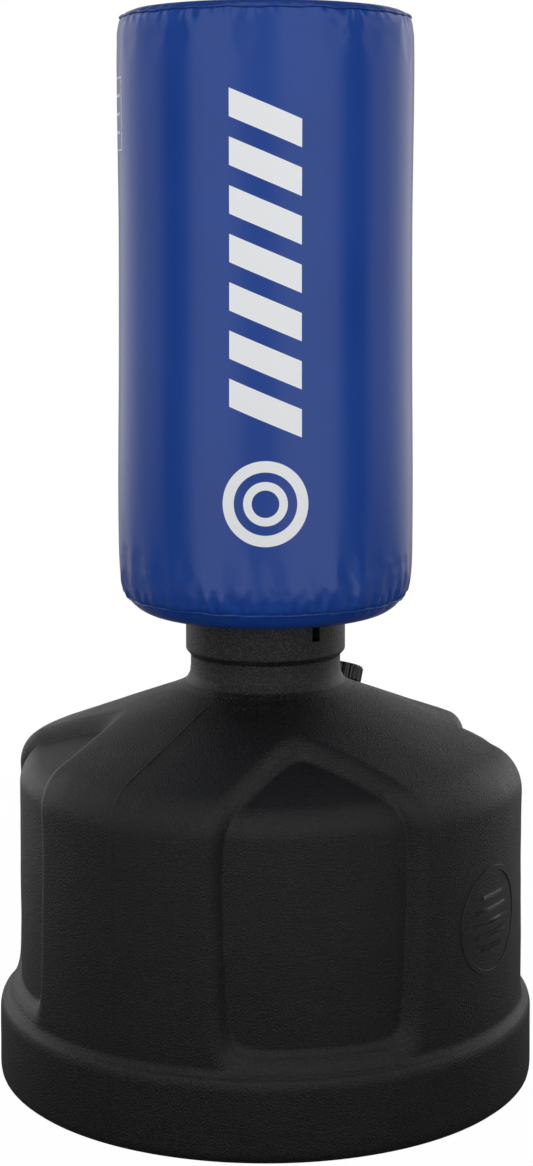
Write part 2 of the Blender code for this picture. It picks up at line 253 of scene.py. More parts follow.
class Nodes:
    """A material's node tree, with short calls for the nodes used here."""

    def __init__(self, name):
        self.material = bpy.data.materials.new(name)
        self.material.use_nodes = True
        self.tree = self.material.node_tree
        self.shader = self.tree.nodes["Principled BSDF"]
        self.coordinates = self.tree.nodes.new("ShaderNodeTexCoord").outputs["Object"]

    def feed(self, socket, value):
        if isinstance(value, bpy.types.NodeSocket):
            self.tree.links.new(value, socket)
        else:
            socket.default_value = value

    def math(self, operation, *values):
        node = self.tree.nodes.new("ShaderNodeMath")
        node.operation = operation
        for socket, value in zip(node.inputs, values):
            self.feed(socket, value)
        return node.outputs[0]

    def noise(self, scale, detail=2.0, roughness=0.5):
        node = self.tree.nodes.new("ShaderNodeTexNoise")
        node.inputs["Scale"].default_value = scale
        node.inputs["Detail"].default_value = detail
        node.inputs["Roughness"].default_value = roughness
        self.feed(node.inputs["Vector"], self.coordinates)
        return node.outputs["Fac"]

    def cells(self, scale):
        node = self.tree.nodes.new("ShaderNodeTexVoronoi")
        node.inputs["Scale"].default_value = scale
        self.feed(node.inputs["Vector"], self.coordinates)
        return node.outputs["Distance"]

    def ramp(self, value, stops):
        """A colour ramp from (position, colour) stops."""
        node = self.tree.nodes.new("ShaderNodeValToRGB")
        elements = node.color_ramp.elements
        while len(elements) < len(stops):
            elements.new(0.5)
        for element, (position, colour) in zip(elements, stops):
            element.position = position
            element.color = (*colour, 1)
        self.feed(node.inputs["Fac"], value)
        return node.outputs["Color"]

    def between(self, value, low, high, from_low=0.0, from_high=1.0):
        """The value carried from one range to another, and kept in it."""
        node = self.tree.nodes.new("ShaderNodeMapRange")
        for socket, number in zip(node.inputs[1:5], (from_low, from_high, low, high)):
            socket.default_value = number
        self.feed(node.inputs["Value"], value)
        return node.outputs["Result"]

    def mix(self, share, a, b):
        node = self.tree.nodes.new("ShaderNodeMix")
        node.data_type = "RGBA"
        self.feed(node.inputs["Factor"], share)
        self.feed(node.inputs["A"], a if isinstance(a, bpy.types.NodeSocket) else (*a, 1))
        self.feed(node.inputs["B"], b if isinstance(b, bpy.types.NodeSocket) else (*b, 1))
        return node.outputs["Result"]

    def axis(self, which):
        node = self.tree.nodes.new("ShaderNodeSeparateXYZ")
        self.feed(node.inputs[0], self.coordinates)
        return node.outputs[which]

    def bump(self, height, distance, strength):
        node = self.tree.nodes.new("ShaderNodeBump")
        node.inputs["Strength"].default_value = strength
        node.inputs["Distance"].default_value = distance
        self.feed(node.inputs["Height"], height)
        self.feed(self.shader.inputs["Normal"], node.outputs["Normal"])

    def set(self, **values):
        for name, value in values.items():
            socket = self.shader.inputs[name.replace("_", " ")]
            self.feed(socket, (*value, 1) if isinstance(value, tuple) else value)
        return self.material


# ---------------------------------------------------------------- materials


def base_plastic():
    """Rotomoulded polyethylene: near-black, with an even pebbled grain, speckles and faint scuffs. The
    speckles show more strongly from the neck up over the collar: partly the collar's own coarser speckle,
    partly painted light that lightens the collar and its foot.
    """
    n = Nodes("base_plastic")
    patches = n.noise(14.0, 3.0)
    pebbles = n.math("ADD", n.noise(560.0, 2.0), n.math("MULTIPLY", n.noise(1100.0, 1.0), 0.6))
    speckles = n.between(n.noise(520.0, 1.0), 0.0, 1.0, 0.49, 0.62)
    scuffs = n.between(n.noise(60.0, 6.0, 0.7), 0.0, 1.0, 0.60, 0.78)
    up = n.axis("Z")
    # Partly painted light: stronger speckle from the neck up over the collar lightens it, besides the
    # collar's own coarser speckle.
    collar = n.between(up, 0.0, 1.0, 0.4150, 0.4700)
    colour = n.ramp(patches, [(0.3, (0.0040, 0.0040, 0.0042)), (0.7, (0.0056, 0.0056, 0.0058))])
    light = n.math("ADD", n.math("MULTIPLY", collar, 0.60), 0.20)
    colour = n.mix(n.math("MULTIPLY", speckles, light), colour, (0.038, 0.038, 0.037))
    colour = n.mix(n.math("MULTIPLY", scuffs, 0.20), colour, (0.020, 0.020, 0.021))
    n.bump(pebbles, 0.0011, 0.85)
    rough = n.math("ADD", n.between(patches, 0.28, 0.35, 0.3, 0.7), n.math("MULTIPLY", scuffs, 0.06))
    return n.set(Base_Color=colour, Roughness=rough, Specular_IOR_Level=0.30)


def smooth_plastic(name, dark, light, rough, grain=300.0):
    """Injection-moulded plastic with a fine even texture."""
    n = Nodes(name)
    patches = n.noise(40.0, 3.0)
    n.bump(n.noise(grain, 2.0), 0.00012, 0.4)
    colour = n.ramp(patches, [(0.3, dark), (0.7, light)])
    return n.set(Base_Color=colour, Roughness=n.between(patches, rough - 0.04, rough + 0.05, 0.3, 0.7))


def drawn_steel():
    """Steel rod with fine lines round its length, and a few dull spots."""
    n = Nodes("pin_steel")
    lines = n.noise(900.0, 2.0)
    spots = n.between(n.noise(160.0, 4.0), 0.0, 1.0, 0.55, 0.75)
    n.bump(lines, 0.00005, 0.3)
    rough = n.math("ADD", n.between(lines, 0.26, 0.38, 0.3, 0.7), n.math("MULTIPLY", spots, 0.15))
    colour = n.mix(spots, (0.56, 0.56, 0.57), (0.34, 0.33, 0.32))
    return n.set(Base_Color=colour, Metallic=1.0, Roughness=rough)


def soft_rubber():
    n = Nodes("gasket_rubber")
    patches = n.noise(90.0, 3.0)
    n.bump(n.noise(700.0), 0.00008, 0.3)
    colour = n.ramp(patches, [(0.3, (0.020, 0.020, 0.020)), (0.7, (0.035, 0.034, 0.033))])
    return n.set(Base_Color=colour, Roughness=n.between(patches, 0.6, 0.75, 0.3, 0.7))


def open_foam():
    """Cut foam: small open cells, a little yellowed in patches, with painted shade in each cell's hollow."""
    n = Nodes("foam")
    cell = n.cells(420.0)
    colour = n.mix(n.noise(9.0, 3.0), (0.40, 0.39, 0.37), (0.50, 0.47, 0.40))
    n.bump(cell, 0.0008, 0.7)
    # Painted shade: the colour is darkened towards the middle of each cell, where the bump sinks it.
    pit_shade = n.between(cell, 0.55, 1.0, 0.0, 0.6)
    shade = n.tree.nodes.new("ShaderNodeMix")
    shade.data_type = "RGBA"
    shade.blend_type = "MULTIPLY"
    shade.inputs["Factor"].default_value = 0.8
    n.feed(shade.inputs["A"], colour)
    n.feed(shade.inputs["B"], pit_shade)
    return n.set(Base_Color=shade.outputs["Result"], Roughness=n.between(cell, 0.85, 0.98, 0.0, 0.6))


def print_mask(n):
    """1 on the white print: slanted bars in a column, and two rings below them, wrapped on the bag."""
    x, y, z = n.axis("X"), n.axis("Y"), n.axis("Z")
    facing_x, facing_y = math.cos(PRINT_TURN), math.sin(PRINT_TURN)
    ahead = n.math("ADD", n.math("MULTIPLY", x, facing_x), n.math("MULTIPLY", y, facing_y))
    aside = n.math("SUBTRACT", n.math("MULTIPLY", y, facing_x), n.math("MULTIPLY", x, facing_y))
    across = n.math("MULTIPLY", n.math("ARCTAN2", aside, ahead), BAG_R)

    def inside(value, limit):
        """1 where the value is below the limit, with a soft edge a quarter of a millimetre wide."""
        return n.between(value, 1.0, 0.0, limit - 0.00012, limit + 0.00012)

    column_half, column_z, bar_pitch, bar_half, bar_lean = 0.0385, 0.9115, 0.0505, 0.0148, 0.42
    column = inside(n.math("ABSOLUTE", across), column_half)
    leaning = n.math("SUBTRACT", n.math("ADD", z, n.math("MULTIPLY", across, bar_lean)), column_z)
    seven = inside(n.math("ABSOLUTE", leaning), 3.5 * bar_pitch)
    bars = inside(n.math("PINGPONG", leaning, bar_pitch / 2), bar_half)
    stripes = n.math("MULTIPLY", n.math("MULTIPLY", column, seven), bars)

    rings_z = 0.6590
    up = n.math("SUBTRACT", z, rings_z)
    away = n.math("SQRT", n.math("ADD", n.math("POWER", across, 2.0), n.math("POWER", up, 2.0)))

    def ring(radius, half):
        return inside(n.math("ABSOLUTE", n.math("SUBTRACT", away, radius)), half)

    mark = n.math("MAXIMUM", ring(0.0395, 0.0060), ring(0.0190, 0.0045))

    tag_turn, tag_z, tag_line = math.radians(-83), 1.0720, 0.0015
    tag_half_wide, tag_half_high = 0.0300, 0.0400
    tag_across = n.math("ABSOLUTE", n.math("SUBTRACT", across, tag_turn * BAG_R))
    tag_up = n.math("ABSOLUTE", n.math("SUBTRACT", z, tag_z))
    outer = n.math("MULTIPLY", inside(tag_across, tag_half_wide), inside(tag_up, tag_half_high))
    inner = n.math("MULTIPLY", inside(tag_across, tag_half_wide - tag_line),
                   inside(tag_up, tag_half_high - tag_line))
    frame_line = n.math("SUBTRACT", outer, inner)
    tag_rows = inside(n.math("PINGPONG", tag_up, 0.0100), 0.0016)
    tag_bars = n.math("MULTIPLY", inside(tag_across, 0.0210), tag_rows)
    tag = n.math("MAXIMUM", frame_line, n.math("MULTIPLY", tag_bars, inside(tag_up, 0.0260)))
    return n.math("MAXIMUM", n.math("MAXIMUM", stripes, mark), n.math("MULTIPLY", tag, 0.75))


def cover_vinyl(name, printed, darker=1.0):
    """Satin coated vinyl with a fine leather grain. The print is a thin, slightly duller ink."""
    n = Nodes(name)
    patches = n.noise(7.0, 3.0)
    grain = n.math("ADD", n.cells(900.0), n.math("MULTIPLY", n.noise(1400.0, 2.0), 0.6))
    dark = tuple(v * darker for v in (0.0080, 0.0490, 0.275))
    light = tuple(v * darker for v in (0.0100, 0.0560, 0.305))
    colour = n.ramp(patches, [(0.3, dark), (0.7, light)])
    n.bump(grain, 0.00005, 0.30)
    rough = n.between(patches, 0.20, 0.26, 0.3, 0.7)
    if printed:
        ink = print_mask(n)
        colour = n.mix(ink, colour, (0.88, 0.90, 0.92))
        rough = n.math("ADD", rough, n.math("MULTIPLY", ink, 0.15))
    return n.set(Base_Color=colour, Roughness=rough, Specular_IOR_Level=0.36)


BASE_PLASTIC = base_plastic()
EMBLEM_PLASTIC = smooth_plastic("emblem_plastic", (0.0080, 0.0080, 0.0085), (0.0110, 0.0110, 0.0115), 0.36)
CAP_PLASTIC = smooth_plastic("cap_plastic", (0.0060, 0.0060, 0.0065), (0.0090, 0.0090, 0.0095), 0.20, 150.0)
PORT_PLASTIC = smooth_plastic("port_plastic", (0.016, 0.016, 0.017), (0.024, 0.024, 0.025), 0.42)
POST_PLASTIC = smooth_plastic("post_plastic", (0.024, 0.024, 0.026), (0.034, 0.034, 0.036), 0.34)
INNER_PLASTIC = smooth_plastic("inner_plastic", (0.020, 0.020, 0.021), (0.032, 0.032, 0.034), 0.46)
LINER_PLASTIC = smooth_plastic("liner_plastic", (0.050, 0.050, 0.052), (0.068, 0.068, 0.070), 0.40)
PIN_STEEL = drawn_steel()
GASKET_RUBBER = soft_rubber()
FOAM = open_foam()
COVER_VINYL = cover_vinyl("cover_vinyl", printed=True)
PANEL_VINYL = cover_vinyl("panel_vinyl", printed=False)
WELT_VINYL = cover_vinyl("welt_vinyl", printed=False, darker=0.85)

# ---------------------------------------------------------------- base

BEND_TOP_R = WALL_R - BEND_R + BEND_R * math.sin(SLOPE)
BEND_TOP_Z = BEND_Z + BEND_R * math.cos(SLOPE)


def shoulder_z(r):
    run = BEND_TOP_R - r
    return BEND_TOP_Z + run * math.tan(SLOPE) - 0.06 * run ** 2


def unrolled_r(r, z):
    """Distance from the axis with the bend and the wall laid flat in line with the shoulder."""
    bend_turn = np.arctan2(z - BEND_Z, r - WALL_R + BEND_R)
    down = BEND_R * (math.pi / 2 - SLOPE - np.maximum(0.0, bend_turn)) + np.maximum(0.0, BEND_Z - z)
    return np.where((z > BEND_Z) & (r < BEND_TOP_R), r, BEND_TOP_R + down * math.cos(SLOPE))


def recess_share(turn, r, z):
    """0 on the raised skin, 1 on a panel's floor, from the distance inside the panel's rounded outline."""
    half = PANEL_HALF - PANEL_TAPER * np.maximum(0.0, BEND_Z - z)
    side = (half - np.abs(turn)) * r
    flat_r = unrolled_r(r, z)
    x, y = np.hypot(np.sin(turn) * flat_r, POINT_ROUND), np.cos(turn) * flat_r
    arm = (y - APEX_R - ARM * x) / math.hypot(1, ARM)
    foot = z - (LEDGE_Z - 0.0075)
    total = sum(np.exp(-np.clip(v, -0.2, 0.2) / CORNER_ROUND) for v in (side, arm, foot))
    t = np.clip(-CORNER_ROUND * np.log(total) / BANK, 0.0, 1.0)
    share = t ** 2
    share[(z < LEDGE_Z - 0.004) | (r < APEX_R)] = 0.0
    return share


def raised_line():
    """The base's raised outer line from the floor to the rim."""
    foot = [(SKIRT_R - 0.0060, 0.0), (SKIRT_R - 0.0010, 0.0040), (SKIRT_R, 0.0100), (SKIRT_R, 0.0780),
            (SKIRT_R - 0.0020, 0.0850), (SKIRT_R - 0.0070, 0.0890), (WALL_R, LEDGE_Z), (WALL_R, BEND_Z)]
    line = eased(foot, 0.0035, closed=False)
    bend_steps = 12
    for k in range(1, bend_steps + 1):
        a = (math.pi / 2 - SLOPE) * k / bend_steps
        line.append((WALL_R - BEND_R + BEND_R * math.cos(a), BEND_Z + BEND_R * math.sin(a)))
    line += [(r, shoulder_z(r)) for r in np.arange(0.256, 0.118, -0.004).tolist()]
    neck = [(0.1160, shoulder_z(0.1160)), (0.1070, 0.4312), (0.0985, 0.4350), (0.0898, 0.4408),
            (0.0853, 0.4490), (NECK_R, 0.4580), (NECK_R, COLLAR_FOOT_Z),
            (COLLAR_R, COLLAR_FOOT_Z + 0.0060), (COLLAR_R, RIM_Z),
            (BORE_R, RIM_Z), (BORE_R, RIM_Z - 0.030)]
    return resampled(line + eased(neck, 0.0016, closed=False), 0.0042)


def from_panel(turn):
    """The angle from the middle of the nearest panel, from -45 to 45 degrees."""
    return np.mod(turn - FRONT + math.pi / 4, math.pi / 2) - math.pi / 4


def base_turns():
    """Column angles round the base, closer together at the panels' sides and at the two parting lines."""
    fine, coarse = 0.0068, 0.0150
    side_from, side_to = math.radians(17), math.radians(27)
    turns, turn = [], 0.003
    while turn < 2 * math.pi - 0.004:
        turns.append(turn)
        turn += fine if side_from < abs(from_panel(turn)) < side_to else coarse
    ridge_columns = (-0.0024, -0.0013, -0.0007, 0.0, 0.0007, 0.0013, 0.0024)
    for line in PARTING_TURNS:
        line %= 2 * math.pi
        turns = [a for a in turns if abs(a - line) > 0.011]
        turns += [line + across / WALL_R for across in ridge_columns]
    return np.array(sorted(turns))


def skin_waviness(points):
    """The slight unevenness of a rotomoulded skin: broad waves and a few finer ones, of about unit height."""
    return np.array([noise.noise(Vector(p) * 14.0) + 0.4 * noise.noise(Vector(p) * 41.0) for p in points])


def base_skin(line, turns):
    """Points [ring, column, xyz] of the outer skin, with its panels, parting lines and unevenness."""
    ridge_high, ridge_wide, waviness, waves_below = 0.0007, 0.0008, 0.0005, 0.43
    along = np.gradient(np.array(line), axis=0)
    along /= np.linalg.norm(along, axis=1)[:, None]
    r, z, a = turned_grid(line, turns)
    sink = RECESS * recess_share(from_panel(a), r, z)
    outside = (z < COLLAR_FOOT_Z + 0.001) & (z > 0.004)
    for line_turn in PARTING_TURNS:
        across = (np.mod(a - line_turn + math.pi, 2 * math.pi) - math.pi) * WALL_R
        ridge = ridge_high * (0.65 + 0.35 * np.sin(z * 310.0) * np.sin(z * 97.0 + 1.0))
        sink -= np.where(outside, ridge * np.exp(-(across / ridge_wide) ** 2), 0.0)
    wave = skin_waviness(grid_points(r, z, a).reshape(-1, 3)).reshape(r.shape)
    sink += np.where(outside & (z < waves_below), waviness * wave, 0.0)
    return grid_points(r - along[:, 1:2] * sink, z + along[:, 0:1] * sink, a)


def port_place():
    radial = Vector((math.cos(PORT_TURN), math.sin(PORT_TURN), 0))
    axis = radial * math.sin(SLOPE) + Vector((0, 0, math.cos(SLOPE)))
    at = radial * PORT_R + Vector((0, 0, shoulder_z(PORT_R)))
    return Matrix.Translation(at) @ Vector((0, 0, 1)).rotation_difference(axis).to_matrix().to_4x4()


def make_base():
    """The outer skin with its blind well, and the ballast chamber inside it."""
    turns = base_turns()
    outer = base_skin(raised_line(), turns)
    well_line = [(BORE_R, RIM_Z - 0.10), (BORE_R, WELL_FLOOR_Z)]
    chamber_top = RIM_Z - NOTCH_DEEP - 0.0050
    chamber_line = [(SKIRT_R - 0.016, WALL), (SKIRT_R - WALL, 0.016), (SKIRT_R - WALL, 0.074),
                    (WALL_R - RECESS - WALL, LEDGE_Z + 0.004), (WALL_R - RECESS - WALL, BEND_Z - 0.006),
                    (WALL_R - 0.0280, BEND_Z + 0.020), (0.232, BEND_TOP_Z - 0.0125), (0.150, 0.3940),
                    (0.105, 0.4240), (0.0800, 0.4400), (0.0780, 0.4700), (0.0780, chamber_top),
                    (BORE_R + WALL, chamber_top), (BORE_R + WALL, WELL_FLOOR_Z - WALL)]
    skin = np.concatenate([outer, grid_points(*turned_grid(well_line, turns))])
    chamber = grid_points(*turned_grid(chamber_line, turns))
    rows, columns, _ = skin.shape
    inner_rows = len(chamber_line)
    first = rows * columns
    centres = first + inner_rows * columns
    points = skin.reshape(-1, 3).tolist() + chamber.reshape(-1, 3).tolist()
    points += [(0, 0, 0), (0, 0, WELL_FLOOR_Z), (0, 0, WALL), (0, 0, WELL_FLOOR_Z - WALL)]
    faces = ring_faces(rows, columns) + fan_faces(0, columns, centres)
    faces += fan_faces((rows - 1) * columns, columns, centres + 1)
    faces += ring_faces(inner_rows, columns, first) + fan_faces(first, columns, centres + 2)
    faces += fan_faces(first + (inner_rows - 1) * columns, columns, centres + 3)
    shell = add_mesh("base_moulding", points, faces)

    cutter = bmesh.new()
    port_hole_r, port_hole_deep, notch_block, notch_r = 0.0188, 0.044, (0.050, NOTCH_WIDE, 0.040), 0.0745
    rod_mesh(cutter, port_hole_r, port_hole_deep, port_place(), 48)
    for n in range(2):
        place = radial_place(NOTCH_TURN + n * math.pi, notch_r, RIM_Z - NOTCH_DEEP + notch_block[2] / 2)
        block_mesh(cutter, notch_block, place)
    cut(shell, from_bmesh("base_cutter", cutter))
    soften_shading(shell, math.radians(50))
    finish_piece(shell, "base", "base_plastic", BASE_PLASTIC, "base_shell")


def wrapped_bar(name, corners):
    """A raised bar on the wall, from a closed outline of (across, up) points about the emblem's centre."""
    count = len(corners)
    points, faces = [], []
    levels = ((-EMBLEM_SUNK, 0.0), (EMBLEM_RAISE - EMBLEM_EDGE, 0.0), (EMBLEM_RAISE, EMBLEM_EDGE))
    for lift, inset in levels:
        for across, up in corners:
            kept = 1 - inset / math.hypot(across, up)
            turn = EMBLEM_TURN + across * kept / WALL_R
            r = WALL_R + lift
            points.append((r * math.cos(turn), r * math.sin(turn), EMBLEM_Z + up * kept))
    for k in range(2):
        for i in range(count):
            j = (i + 1) % count
            faces.append((k * count + i, k * count + j, (k + 1) * count + j, (k + 1) * count + i))
    faces.append(tuple(range(count)))
    faces.append(tuple(range(2 * count, 3 * count)))
    return add_mesh(name, points, faces, math.radians(60))


def make_emblem():
    """A plain raised ring with five thin bars in it, moulded on the wall between two panels."""
    columns, shoulder, top = 96, EMBLEM_RAISE - EMBLEM_EDGE, EMBLEM_LINE - EMBLEM_EDGE
    ring_line = [(EMBLEM_R - EMBLEM_LINE, -EMBLEM_SUNK), (EMBLEM_R + EMBLEM_LINE, -EMBLEM_SUNK),
                 (EMBLEM_R + EMBLEM_LINE, shoulder), (EMBLEM_R + top, EMBLEM_RAISE),
                 (EMBLEM_R - top, EMBLEM_RAISE), (EMBLEM_R - EMBLEM_LINE, shoulder)]
    flat = revolved(ring_line, columns)
    points = grid_points(WALL_R + flat[..., 2], EMBLEM_Z + flat[..., 1], EMBLEM_TURN + flat[..., 0] / WALL_R)
    ring = add_mesh("emblem_ring", points.reshape(-1, 3), ring_faces(len(ring_line), columns, wrap_rows=True))
    finish_piece(ring, "base", "base_plastic", EMBLEM_PLASTIC)
    bar_pitch, bar_half_high, bar_steps = 0.014, 0.0024, 12
    for k, half in enumerate((0.020, 0.032, 0.036, 0.032, 0.020)):
        up = (2 - k) * bar_pitch
        steps = [-half + 2 * half * i / bar_steps for i in range(bar_steps + 1)]
        corners = [(s, up - bar_half_high) for s in steps] + [(s, up + bar_half_high) for s in steps[::-1]]
        bar = wrapped_bar(f"emblem_bar_{k + 1}", corners)
        finish_piece(bar, "base", "base_plastic", EMBLEM_PLASTIC)


def make_port_ring(place):
    bore, outside_r, low, high = 0.0145, 0.0180, -0.0090, 0.0165
    thread_low, thread_high, thread_pitch, thread_deep = 0.0020, 0.0150, 0.0032, 0.00045

    def thread(r, z, a):
        """A rounded thread on the outside of the ring."""
        threaded = (r > bore + 0.0020) & (z > thread_low) & (z < thread_high)
        wave = np.sin(2 * math.pi * (z / thread_pitch) - a)
        return r + np.where(threaded, thread_deep * wave - thread_deep, 0.0)

    side = [(outside_r, low + 0.00037 * k) for k in range(69)]
    outline = [(bore, high), (bore, low)] + side + [(outside_r, high)]
    ring = lathe("port_ring", outline, 96, place, relief=thread)
    finish_piece(ring, "base", "port_plastic", PORT_PLASTIC, "fill_port_insert")


def make_cap_washer(place):
    inside_r, outside_r, low, high = 0.0140, 0.0180, 0.0168, 0.0184
    outline = [(inside_r, low), (outside_r, low), (outside_r, high), (inside_r, high)]
    gasket = lathe("cap_washer", outline, 96, place, ease=0.0007)
    finish_piece(gasket, "cap_seat", "gasket_rubber", GASKET_RUBBER, "cap_gasket")


def make_fill_cap(place):
    top_r, ribs_low, rib_count, rib_deep = 0.0206, 0.0034, 18, 0.0014

    def ribs(r, z, a):
        """Rounded grip ribs round the cap's side, fading out towards its top."""
        ribbed = (r > top_r) & (z > ribs_low)
        groove = np.clip(0.55 + 0.75 * np.cos(rib_count * a), 0.0, 1.0)
        fade = np.clip((r - top_r) / 0.0015, 0.0, 1.0)
        return r - np.where(ribbed, rib_deep * (1 - groove) * fade, 0.0)

    outline = [(0.0, 0.0187), (0.0187, 0.0187), (0.0187, 0.0032), (0.0222, 0.0032), (0.0225, 0.0040),
               (0.0225, 0.0188), (top_r, 0.0215), (0.0150, 0.0220), (0.0140, 0.0212), (0.0, 0.0212)]
    cap = lathe("ribbed_cap", outline, 288, place, ease=0.0006, relief=ribs, sharp_from=math.radians(55))
    finish_piece(cap, "cap", "cap_plastic", CAP_PLASTIC, "fill_cap")


# ---------------------------------------------------------------- post


def make_post():
    """The pipe and the pins through it. The raised bag's lock ring rests just above a pin."""
    low = WELL_FLOOR_Z + 0.0088
    outline = [(TUBE_BORE, low), (TUBE_R, low), (TUBE_R, TUBE_TOP), (TUBE_BORE, TUBE_TOP)]
    tube = lathe("post_pipe", outline, 128, ease=0.0006)
    holes = bmesh.new()
    hole_r, hole_length = PIN_R + 0.0004, 0.12
    for k in range(1, SETTINGS + 1):
        height = LOCK_Z + STEP * k - REST_GAP - PIN_R
        place = Matrix.Translation((0, 0, height)) @ Matrix.Rotation(math.pi / 2, 4, "Y")
        rod_mesh(holes, hole_r, hole_length, place)
        pin_line = [(0.0, -PIN_REACH), (PIN_R, -PIN_REACH), (PIN_R, PIN_REACH), (0.0, PIN_REACH)]
        pin = lathe(f"post_pin_{k}", pin_line, 32, place, ease=0.0007)
        finish_piece(pin, "base", "pin_steel", PIN_STEEL, f"cross_pin_{k}")
    cut(tube, from_bmesh("pin_holes", holes))
    soften_shading(tube)
    finish_piece(tube, "base", "post_plastic", POST_PLASTIC, "support_tube")


def make_neck_bush():
    bore, sleeve, flange = TUBE_R + 0.0006, BORE_R - 0.0005, 0.0800
    low, under, top = RIM_Z - 0.070, RIM_Z + REST_GAP, LOCK_Z - REST_GAP
    outline = [(bore, low), (sleeve, low), (sleeve, under), (flange, under), (flange, top), (bore, top)]
    bush = lathe("collar_bush", outline, 128, ease=0.0008)
    key_low, key_high = RIM_Z - NOTCH_DEEP + 0.0005, LOCK_Z - 0.0010
    keys = bmesh.new()
    for n in range(2):
        place = radial_place(NOTCH_TURN + n * math.pi, 0.0690, (key_low + key_high) / 2)
        block_mesh(keys, (0.018, NOTCH_WIDE - 0.0010, key_high - key_low), place)
    cut(bush, from_bmesh("bush_keys", keys), "UNION")
    soften_shading(bush)
    finish_piece(bush, "base", "inner_plastic", INNER_PLASTIC, "neck_bush")


# ---------------------------------------------------------------- cover

COLUMNS = 512
SETTLE_FRAMES, SETTLE_MOST = 8, 0.0015
BAG_MIDDLE_Z = 0.86
ROOF_LINE = [(0.0040, 1.1915), (0.0300, 1.1913), (0.0600, 1.1908), (0.1080, 1.1893), (0.1370, 1.1872),
             (0.1500, 1.1846), (0.1563, 1.1812), SEAM_HIGH]
WALL_LINE = [SEAM_HIGH, (0.1612, 1.1740), (0.1630, 1.1655), (0.1640, 1.1450), (0.1643, 1.0950),
             (0.1638, 1.0380), (0.1631, 0.9700), (0.1634, 0.8240), (0.1647, 0.6070), (0.1644, 0.5840),
             (0.1633, 0.5640), (0.1608, 0.5500), (0.1577, 0.5415), SEAM_LOW]
FLOOR_LINE = [SEAM_LOW, (0.1526, 0.5350), (0.1470, 0.5286), (0.1380, 0.5226), (0.1270, 0.5191),
              (0.1165, 0.5179), (0.0950, 0.5179), (0.0780, 0.5179)]
FINE_STEP, COARSE_STEP = 0.0025, 0.0110   # row spacing near a seam and away from it
FINE_REACH, FINE_FADE = 0.055, 0.040      # how far the close rows run, and over what length they open out


def smoothed(line, seam_first, seam_last):
    """Points on a smooth curve through the given ones, and their places along it.

    They are closer together near the ends that are seams."""
    p = np.array(line)
    along = np.r_[0.0, np.cumsum(np.linalg.norm(np.diff(p, axis=0), axis=1))]
    slopes = np.gradient(p, along, axis=0)
    places, s = [0.0], 0.0
    while s < along[-1] - 1e-6:
        near = min(s if seam_first else 1.0, along[-1] - s if seam_last else 1.0)
        blend = min(1.0, max(0.0, (near - FINE_REACH) / FINE_FADE))
        s += FINE_STEP + (COARSE_STEP - FINE_STEP) * blend
        places.append(s)
    places = np.array(places) * along[-1] / places[-1]
    out = []
    for s in places:
        k = min(int(np.searchsorted(along, s, side="right")) - 1, len(p) - 2)
        span = along[k + 1] - along[k]
        t = (s - along[k]) / span
        start, end = 2 * t ** 3 - 3 * t ** 2 + 1, 3 * t ** 2 - 2 * t ** 3
        leave, arrive = t ** 3 - 2 * t ** 2 + t, t ** 3 - t ** 2
        out.append(start * p[k] + leave * span * slopes[k] + end * p[k + 1] + arrive * span * slopes[k + 1])
    return np.array(out), places


def seam_sway(turns, seed, reach):
    """A smooth random wave round the seam, in metres."""
    rng = np.random.default_rng(seed)
    wave = sum(rng.normal() / math.sqrt(w) * np.cos(w * turns + rng.uniform(0, 2 * math.pi))
               for w in range(7, 50, 3))
    return reach * wave / np.abs(wave).max()


def gathers(away, turns, seed, spacing, reach, depth):
    """How far the gathered cloth near a seam is drawn in, from its distance to the seam.

    Each gather is a sharp crease that starts at the seam, leans a little and fades out. spacing, reach and
    depth are the least and the greatest distance between two gathers, their length and their depth."""
    rng = np.random.default_rng(seed)
    drawn = np.zeros((len(away), len(turns)))
    strength = 0.62 + 0.38 * seam_sway(turns, seed + 100, 1.0)
    around = 0.0
    while around < 2 * math.pi - 0.03:
        length = rng.uniform(*reach)
        half = rng.uniform(0.0022, 0.0038)
        lean = rng.normal(0.0, 0.10)
        deep = rng.uniform(*depth) * np.interp(around, turns, strength)
        fade = np.clip(1.0 - away / length, 0.0, 1.0) ** 1.3 * np.clip(away / 0.0040, 0.0, 1.0)
        centre = around + lean * away / SEAM_R
        wide = half * (1.0 + 1.8 * away / length)
        across = (turns[None, :] - centre[:, None] + math.pi) % (2 * math.pi) - math.pi
        u = across * SEAM_R / wide[:, None]
        crease = np.exp(-np.abs(u) ** 1.5) - 0.45 * np.exp(-((np.abs(u) - 2.1) / 0.9) ** 2)
        drawn += deep * fade[:, None] * crease
        around += rng.uniform(*spacing) / SEAM_R
    return drawn


def slack_waves(away, turns, seed, reach, height):
    """Broad, low folds that run further into the panel than the gathers do."""
    rng = np.random.default_rng(seed)
    wave = sum(rng.normal() / w ** 0.4 * np.cos(w * turns + rng.uniform(0, 2 * math.pi) + 9.0 * away[:, None])
               for w in range(12, 40, 4))
    fade = np.clip(away / 0.012, 0.0, 1.0) * np.exp(-(away / reach) ** 2)
    return height * fade[:, None] * wave / np.abs(wave).max()


